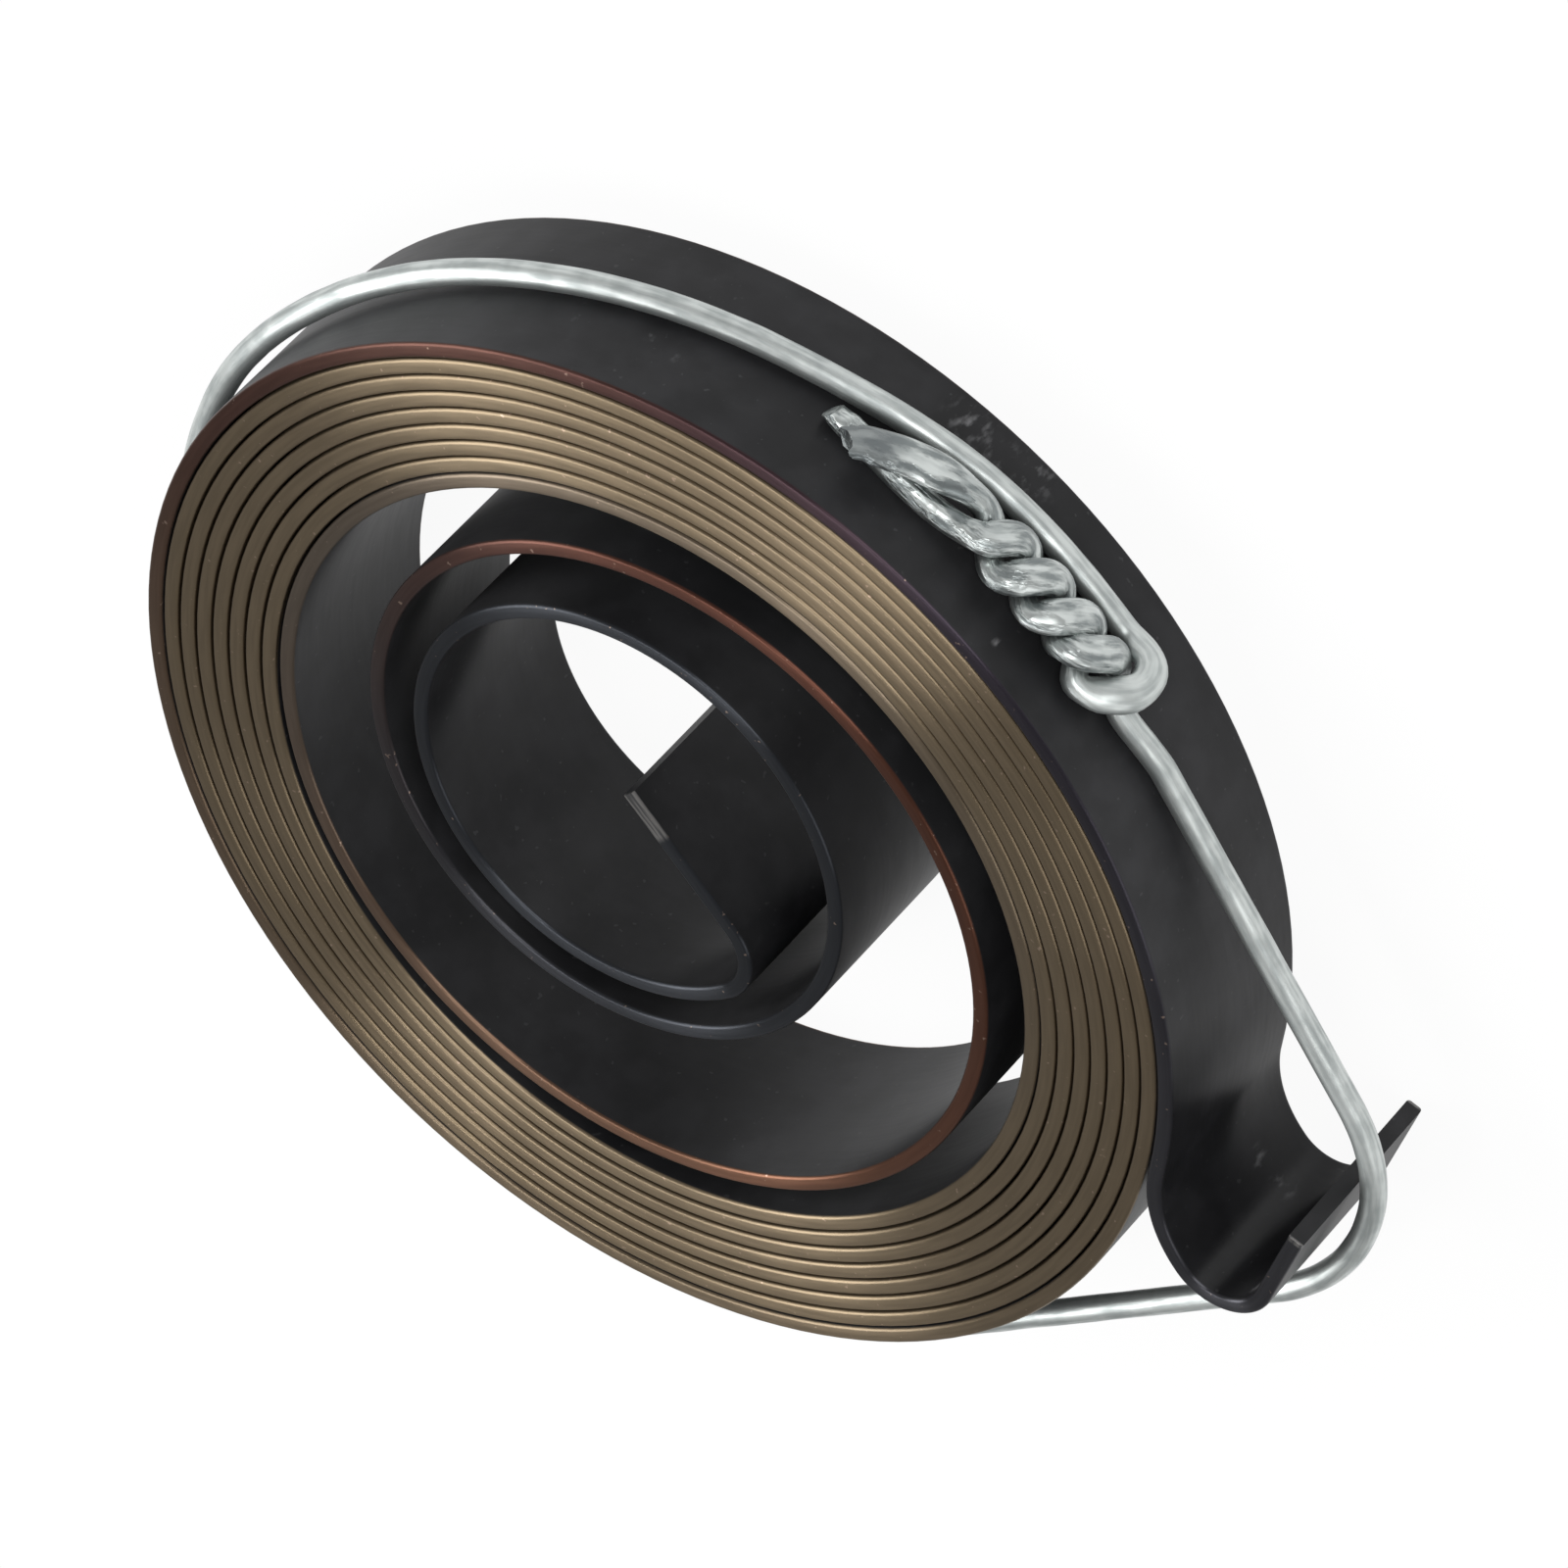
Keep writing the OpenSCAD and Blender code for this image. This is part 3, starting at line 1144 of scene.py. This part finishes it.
@dataclass(frozen=True)
class BindingWire:
    """The tie wire: once round the coil and over the hook, with its ends twisted together.

    Sizes are in millimetres and degrees. A place on the coil's outside is a direction, a lift above the
    surface and a height from the middle of the strip.
    """

    coil: Coil
    finish: ZincCoat
    wire_d: float = 1.1
    wire_play: float = 0.05
    wire_bow: float = 0.25
    wire_bow_side: float = 121.0
    wire_bow_reach: float = 40.0
    twist_halves: float = 3.2
    twist_lead: float = 3.84
    twist_w: float = 2.9
    twist_side: float = 25.3
    twist_height: float = 1.05
    over_from: float = 0.72
    under_from: float = 0.4
    loop_r: float = 1.8
    loop_lead: float = -0.1
    loop_height: float = 0.25
    loop_climb: float = 70.0
    wrap_lag: float = 2.0
    lap_lead: float = 3.0
    tail_len: float = 7.8
    bridge_route: Route = ((0.48, 0.02, 0.8), (0.24, 0.0, 1.42))
    foot_route: Route = (
        (-4.0, 0.0, 0.75),
        (-2.4, 0.0, 0.95),
        (-1.35, 0.02, 0.5),
        (-0.75, 0.44, 0.15),
        (-0.3, 0.88, 0.45),
        (0.13, 1.02, 1.05),
        (0.55, 1.02, 1.6),
        (0.98, 0.92, 1.92),
    )
    low_route: Route = (
        (0.12, 0.4, 1.5), (0.3, 0.95, 1.5), (0.5, 1.0, 1.42), (0.75, 1.0, 1.12), (1.0, 1.0, 0.74),
    )
    high_route: Route = (
        (0.09, -0.1, 0.16),
        (0.21, 0.4, 0.26),
        (0.36, 0.9, 0.49),
        (0.55, 1.0, 1.04),
        (0.66, 1.0, 1.57),
        (0.78, 1.0, 2.5),
    )
    lap_heights: Tuple[Tuple[float, float], ...] = (
        (25, -1.55),
        (40, -1.55),
        (48, -1.25),
        (57, -0.6),
        (100, 0.6),
        (124, 1.6),
        (145, 0.8),
        (290, 2.5),
        (332, 0.1),
        (360, 0.1),
        (374, 0.6),
    )
    height_blur: float = 6.0
    # How finely the wire is drawn.
    fine_parts: int = 12
    loop_parts: int = 36
    spacing: float = 0.22
    soft_passes: int = 2
    sides: int = 18
    sharp: float = 50.0
    # The low end is cut on a slant and pinched.
    cut_slant: float = -42.0
    cut_reach: float = 1.3
    pinch_reach: float = 0.7
    pinch_thin: float = 0.2
    pinch_narrow: float = 0.1
    # The high end is flattened, moved up the coil and torn.
    flat_reach: float = 6.0
    flat_ease: float = 2.5
    flat_thin: float = 0.38
    flat_wide: float = 0.68
    tail_shift: float = 0.34
    tail_ease: float = 2.0
    torn_reach: float = 0.8
    torn_narrow: float = 0.2
    tear: float = 0.6
    tear_reach: float = 0.7
    tear_scale: float = 3.1
    # Pliers flattened what stands up of the loop and the twist, from a little before to a little past.
    press_thin: float = 0.12
    press_wide: float = 0.38
    press_before: float = 1.0
    press_start: float = 1.5
    press_past: float = 2.0
    # The top of the twist's crests, this deep, is pressed down to a share of its height.
    press: float = 0.2
    press_give: float = 0.3
    # The drawn wire is a little uneven all along.
    wobble: float = 0.02
    wobble_scale: float = 0.8

    @property
    def seat(self) -> float:
        """Give the lift of the wire's middle where it lies on the coil."""
        return self.wire_d / 2 + self.wire_play

    @property
    def over_lift(self) -> float:
        """Give the lift of the wire's middle where it crosses over another strand."""
        return self.seat + self.wire_d + 2 * self.wire_play

    @property
    def strand_r(self) -> float:
        """Give the radius at which the strands wind round each other."""
        return (self.wire_d + self.wire_play) / 2

    @property
    def twist_lift(self) -> float:
        """Give the lift of the twist's axis."""
        return self.seat + self.strand_r

    @property
    def twist_end(self) -> float:
        """Give the direction at which the twist ends."""
        return self._twist_at(self.twist_halves)

    @property
    def loop_side(self) -> float:
        """Give the direction of the loop's middle."""
        return self.twist_side + self.along(self.loop_lead)

    def _twist_at(self, half: float) -> float:
        """Give the direction of a place on the twist, counted in half turns from the first crossing."""
        return self.twist_side + self.along(half * self.twist_lead / 2)

    def along(self, length: float) -> float:
        """Give the angle that a length covers along the outside of the coil."""
        return math.degrees(length / (self.coil.coil_d / 2 + self.seat))

    def build(self) -> bpy.types.Object:
        """Model the wire as one ring drawn along its route.

        Returns:
            The finished object.
        """
        line = soften_line(even_line(self.route(), self.spacing), self.soft_passes)
        bm = new_sweep()
        girth = bm.verts.layers.float[ROUND]
        ring = bmesh.ops.create_circle(bm, cap_ends=True, segments=self.sides, radius=self.wire_d / 2)
        for k, vert in enumerate(ring["verts"]):
            vert[girth] = k / self.sides
        places = [self._section(line, i) for i in range(len(line))]
        draw_out(bm, places, [i / (len(line) - 1) for i in range(len(line))])
        lay_uv(bm)
        self._work_surface(bm)
        return finish_piece(bm, WIRE + "_body", self.sharp)

    def dress(self, piece: bpy.types.Object) -> None:
        """Give the wire its finish and its body, and hide the solid that it stands for.

        Args:
            piece: The wire's object.
        """
        piece.data.materials.append(self.finish.material(line_length(self.route())))
        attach(piece, BODY)
        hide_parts(WIRE)

    def route(self) -> List[Vector]:
        """Give the wire's middle line, from the end that lies on the coil to the one that crosses over.

        Returns:
            The line's points in the part's frame.
        """
        over = self._strand(0.0, self.over_from)
        under = self._strand(180.0, self.under_from)
        loop = self._loop()
        low_end = self._free_end(under[-1], self.low_route, self.seat)
        high_end = self._free_end(over[-1], self.high_route, self.over_lift)
        bridge = smooth_line([under[0], *self._by_crossing(self.bridge_route), loop[0]], self.fine_parts)
        foot_start = self._wrap_sides()[1]
        foot = [Vector((foot_start, self.seat, self._height(foot_start + 360)))]
        foot = smooth_line([*foot, *self._by_crossing(self.foot_route), over[0]], self.fine_parts)
        first = [*reversed([*under, *low_end]), *bridge, *loop[1:]]
        final = [*foot, *over[1:], *high_end]
        return [*map(self.coil.outside, first), *self._lap(), *self._wrap(), *map(self.coil.outside, final)]

    def _by_crossing(self, route: Route) -> List[Vector]:
        """Read a route by the first crossing of the twist.

        Args:
            route: Lengths past the crossing, shares of the climb over a strand, and heights.

        Returns:
            Places on the coil.
        """
        places: List[Vector] = []
        for length, climb, height in route:
            side = self.twist_side + self.along(length)
            places.append(Vector((side, mix(self.seat, self.over_lift, climb), height)))
        return places

    def _height(self, direction: float) -> float:
        """Give the wire's height on its way round, a little blurred so that it has no kinks."""
        reads = [lookup(self.lap_heights, direction + k * self.height_blur / 2) for k in range(-2, 3)]
        return sum(reads) / len(reads)

    def _strand(self, phase: float, start: float) -> List[Vector]:
        """Give one strand of the twist as places on the coil.

        Args:
            phase: Angle of the strand at the first crossing, 0 being on top.
            start: Half turns from the first crossing to where it starts.

        Returns:
            The strand's places, up to the end of the twist.
        """
        steps = math.ceil(self.fine_parts * (self.twist_halves - start))
        reach = (self.twist_w - self.wire_d) / 2
        strand: List[Vector] = []
        for half in spread(start, self.twist_halves, steps):
            angle = math.radians(phase + 180 * half)
            lift = self.twist_lift + self.strand_r * math.cos(angle)
            strand.append(Vector((self._twist_at(half), lift, self.twist_height + reach * math.sin(angle))))
        return strand

    def _loop(self) -> List[Vector]:
        """Give the loop at the twist's foot, which passes over the strand from the hook.

        Returns:
            Places on the coil.
        """
        loop: List[Vector] = []
        for angle in spread(90, -90, self.loop_parts):
            lift = mix(self.seat, self.over_lift, ease((90 - abs(angle)) / self.loop_climb))
            across = self.loop_r * math.cos(math.radians(angle))
            height = self.loop_height + self.loop_r * math.sin(math.radians(angle))
            loop.append(Vector((self.loop_side - self.along(across), lift, height)))
        return loop

    def _lap(self) -> List[Vector]:
        """Give the lap round the coil, from the loop to the hook.

        Returns:
            Its points in the part's frame, about a degree apart.
        """
        start = self.loop_side + self.lap_lead
        end = self._wrap_sides()[0] + 360
        lap: List[Vector] = []
        for side in spread(start, end, round(end - start)):
            bow = self.wire_bow * ease(1 - abs(side - self.wire_bow_side) / self.wire_bow_reach)
            lap.append(self.coil.outside(Vector((side, self.seat + bow, self._height(side)))))
        return lap

    def _wrap_centre(self) -> Vector:
        """Give the centre that the wire rounds the hook about."""
        return self.coil.lap_r(1) * ahead(self.coil.hook_root - self.wrap_lag)

    def _wrap_r(self) -> float:
        """Find the radius that clears the hook's bend and the corner of its tip.

        Returns:
            The radius of the wire's middle.
        """
        centre = self._wrap_centre()
        corner = self.coil.hook_stations()[-1].beside(-self.coil.strip_t / 2)
        bend = (self.coil.hook_centre() - centre).length + self.coil.hook_r + self.coil.strip_t / 2
        return self.seat + max((corner - centre).length, bend)

    def _wrap_sides(self) -> Tuple[float, float]:
        """Find where the wire meets the wrap and leaves it, straight from the coil and straight to it.

        Returns:
            The two directions from the wrap's centre.
        """
        sides: List[float] = []
        for lap, turn in ((2, -1), (0, 1)):
            reach = self._wrap_centre() - self.coil.lap_centre(lap)
            gain = self.coil.lap_r(lap) + self.coil.strip_t / 2 + self.seat - self._wrap_r()
            sides.append(direction_of(reach) + turn * math.degrees(math.acos(gain / reach.length)))
        return sides[0], sides[1]

    def _wrap(self) -> List[Vector]:
        """Give the run over the hook.

        Returns:
            Its points in the part's frame, about a degree apart.
        """
        start, end = self._wrap_sides()
        centre, radius = self._wrap_centre(), self._wrap_r()
        wrap: List[Vector] = []
        for side in spread(start, end, round(end - start)):
            flat = centre + radius * ahead(side)
            wrap.append(flat + (self.coil.strip_w / 2 + self._height(direction_of(flat) + 360)) * UP)
        return wrap

    def _free_end(self, start: Vector, route: Route, lift: float) -> List[Vector]:
        """Give a free end past the twist.

        Args:
            start: Where the twist leaves off.
            route: Shares of the end's length and of the way to its lift, with heights.
            lift: The end's own lift.

        Returns:
            Places on the coil.
        """
        places = [start]
        for share, climb, height in route:
            side = self.twist_end + self.along(self.tail_len * share)
            places.append(Vector((side, mix(self.twist_lift, lift, climb), height)))
        return smooth_line(places, self.fine_parts)

    def _section(self, line: Sequence[Vector], i: int) -> Matrix:
        """Give the place, turn and squeeze of the wire's ring at a point of its line.

        Args:
            line: The wire's line.
            i: Which point.

        Returns:
            The matrix for a flat ring, its X away from the coil's axis.
        """
        forward = (line[min(len(line) - 1, i + 1)] - line[max(0, i - 1)]).normalized()
        out = Vector((line[i].x, line[i].y, 0.0))
        out = (out - out.dot(forward) * forward).normalized()
        axes = Matrix((out, forward.cross(out), forward)).transposed()
        from_start = i * self.spacing
        from_end = (len(line) - 1 - i) * self.spacing
        thin, wide = self._pressed(line[i])
        for cut, distance in ((EndCut.PINCHED, from_start), (EndCut.FLATTENED, from_end)):
            thinned, widened = self._squeeze(cut, distance)
            thin *= thinned
            wide *= widened
        slant = self.cut_slant * ease(1 - from_start / self.cut_reach)
        tilt = Matrix.Rotation(math.radians(slant), 4, "Y")
        squeeze = Matrix.Diagonal((thin, wide, 1.0, 1.0))
        shift = self.tail_shift * self._flattened(from_end) * ease(from_end / self.tail_ease) * UP
        return Matrix.Translation(line[i] + shift) @ axes.to_4x4() @ tilt @ squeeze

    def _pressed(self, place: Vector) -> Tuple[float, float]:
        """Give how far pliers flattened the wire at a place, away from the coil and across.

        Args:
            place: A place on the wire's line.

        Returns:
            Scale away from the coil and scale across.
        """
        side = direction_of(place)
        start = self.loop_side - self.along(self.loop_r) - self.press_before
        begun = ease((side - start) / self.press_start)
        ended = ease((self.twist_end + self.press_past - side) / self.press_past)
        lifted = ease((self.coil.lift_of(place) - self.seat) / self.strand_r)
        share = begun * ended * lifted
        return 1 - self.press_thin * share, 1 + self.press_wide * share

    def _flattened(self, distance: float) -> float:
        """Give the share of flattening at a distance from the high end."""
        return ease((self.flat_reach - distance) / self.flat_ease)

    def _squeeze(self, cut: EndCut, distance: float) -> Tuple[float, float]:
        """Give how the cutters left a free end's section.

        Args:
            cut: How it was cut.
            distance: Distance from the end, in millimetres.

        Returns:
            Scale away from the coil and scale across.
        """
        if cut is EndCut.PINCHED:
            near = ease(1 - distance / self.pinch_reach)
            return 1 - self.pinch_thin * near, 1 - self.pinch_narrow * near
        flat = self._flattened(distance)
        torn = ease(1 - distance / self.torn_reach)
        return 1 - self.flat_thin * flat, (1 + self.flat_wide * flat) * (1 - self.torn_narrow * torn)

    def _work_surface(self, bm: bmesh.types.BMesh) -> None:
        """Press the flats that pliers leave on the twist, tear one end, and make the wire a little uneven.

        Args:
            bm: The wire's mesh.
        """
        along = bm.verts.layers.float[ALONG]
        line = self.route()
        length = line_length(line)
        onward = (line[-1] - line[-2]).normalized()
        level = self.twist_lift + self.strand_r + self.wire_d / 2 - self.press
        for vert in bm.verts:
            lift = self.coil.lift_of(vert.co)
            out = Vector((vert.co.x, vert.co.y, 0.0)).normalized()
            if lift > level and self.twist_side < direction_of(vert.co) < self.twist_end:
                vert.co += (self.press_give - 1) * (lift - level) * out
            vert.co += self.wobble * noise.noise(vert.co * self.wobble_scale) * out
            torn = ease(1 - (1 - vert[along]) * length / self.tear_reach)
            vert.co += self.tear * torn * noise.noise(vert.co * self.tear_scale) * onward


@dataclass(frozen=True)
class Lamp:
    """A square soft light.

    Attributes:
        name: Its name.
        direction: Direction from the axis, in degrees.
        rise: Angle above the floor, in degrees.
        distance: Distance from the part, in metres.
        side: Length of its side, in metres.
        power: Its power, in watts.
    """

    name: str
    direction: float
    rise: float
    distance: float
    side: float
    power: float

    def build(self) -> None:
        """Hang the lamp so that it faces the part."""
        light = bpy.data.lights.new(self.name, "AREA")
        light.shape = "SQUARE"
        light.size = self.side
        light.energy = self.power
        lamp = link(self.name, light)
        flat = math.cos(math.radians(self.rise)) * ahead(self.direction)
        away = flat + math.sin(math.radians(self.rise)) * UP
        lamp.location = self.distance * away
        lamp.rotation_euler = away.to_track_quat("Z", "Y").to_euler()


@dataclass(frozen=True)
class Studio:
    """Plain white floor, soft lamps and the camera.

    Attributes:
        lamps: The lamps.
        sky: Brightness of the room above the floor.
        floor_side: Length of the floor's side, in metres.
        floor_colour: Colour of the floor under light.
        floor_white: Share of plain white in what is seen of the floor. The rest takes shadows.
        camera_place: Where the camera stands, in metres.
        camera_right: The direction to the right of its picture.
        camera_up: The direction up its picture.
        lens: Its focal length, in millimetres.
        picture_w: The width of its picture behind the lens, in millimetres.
        nearest: The nearest that it sees, in metres.
    """

    lamps: Tuple[Lamp, ...] = (
        Lamp("lamp_high", 200.0, 72.0, 0.5, 0.16, 0.5),
        Lamp("lamp_side", 182.0, 52.5, 0.5, 0.18, 0.58),
        Lamp("lamp_front", 41.0, 44.0, 0.6, 0.32, 1.4),
        Lamp("lamp_left", 152.0, 38.0, 0.6, 0.32, 1.35),
        Lamp("lamp_right", -25.0, 31.0, 0.6, 0.32, 0.5),
    )
    sky: float = 0.37
    floor_side: float = 4.0
    floor_colour: Colour = (0.9, 0.9, 0.9, 1.0)
    floor_white: float = 0.93
    camera_place: Tuple[float, float, float] = (0.262741, 0.228572, 0.260082)
    camera_right: Tuple[float, float, float] = (0.786530, -0.268204, -0.556271)
    camera_up: Tuple[float, float, float] = (-0.134970, 0.804334, -0.578645)
    lens: float = 247.16
    picture_w: float = 36.0
    nearest: float = 0.01

    def build(self) -> None:
        """Set up the floor, the light and the camera."""
        bpy.context.scene.view_settings.view_transform = "Standard"
        self._build_floor()
        self._build_sky()
        for lamp in self.lamps:
            lamp.build()
        self._build_camera()

    @staticmethod
    def _seen(graph: Graph) -> Socket:
        """Give 1 for what the camera sees, straight or in a reflection, and 0 for light on the part."""
        rays = ("Is Camera Ray", "Is Glossy Ray", "Is Transmission Ray")
        return graph.greatest(*(graph.node("ShaderNodeLightPath", {}, ray) for ray in rays))

    def _build_floor(self) -> None:
        """Lay the floor, which looks white and keeps a soft shadow."""
        bm = bmesh.new()
        bmesh.ops.create_grid(bm, x_segments=1, y_segments=1, size=self.floor_side / 2)
        mesh = bpy.data.meshes.new("floor")
        bm.to_mesh(mesh)
        bm.free()
        floor = link("floor", mesh)
        material, graph = new_material("white_floor")
        share = graph.times(self._seen(graph), self.floor_white)
        matt = graph.node("ShaderNodeBsdfDiffuse", {"Color": self.floor_colour})
        white = graph.node("ShaderNodeEmission", {"Color": WHITE})
        graph.surface(graph.node("ShaderNodeMixShader", {0: share, 1: matt, 2: white}))
        floor.data.materials.append(material)

    def _build_sky(self) -> None:
        """Fill the room with even grey light."""
        world = bpy.data.worlds.new("studio")
        world.use_nodes = True
        graph = Graph(world.node_tree)
        light = graph.node("ShaderNodeBackground", {"Color": WHITE, "Strength": self.sky})
        graph.surface(light, "ShaderNodeOutputWorld")
        bpy.context.scene.world = world

    def _build_camera(self) -> None:
        """Stand the camera where the photograph was taken from."""
        data = bpy.data.cameras.new("camera")
        data.lens = self.lens
        data.sensor_width = self.picture_w
        data.clip_start = self.nearest
        camera = link("camera", data)
        right = Vector(self.camera_right).normalized()
        up = Vector(self.camera_up).normalized()
        axes = Matrix((right, up, right.cross(up))).transposed()
        camera.matrix_world = Matrix.Translation(self.camera_place) @ axes.to_4x4()
        bpy.context.scene.camera = camera


def report(piece: bpy.types.Object, node: str) -> None:
    """Log a finished piece with its size and how it fits its solid.

    Args:
        piece: The piece.
        node: The solid that it stands for.
    """
    low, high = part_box(node)
    corners = [vert.co for vert in piece.data.vertices]
    past = max(max(low[k] - co[k], co[k] - high[k]) for co in corners for k in range(3))
    LOG.info("%s: %d faces, %.3f mm past its solid's box", piece.name, len(piece.data.polygons), past / MM)


def main() -> None:
    """Build the studio, the strip and the wire, and log each piece."""
    logging.basicConfig(level=logging.INFO, format="%(name)s: %(message)s")
    Studio().build()
    low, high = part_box(STRIP)
    coil = Coil(strip_w=(high.z - low.z) / MM)
    strip = SpringStrip(coil, TemperedSteel())
    wire = BindingWire(coil, ZincCoat())
    for node, assembly in ((STRIP, strip), (WIRE, wire)):
        piece = assembly.build()
        assembly.dress(piece)
        report(piece, node)


if __name__ == "__main__":
    main()
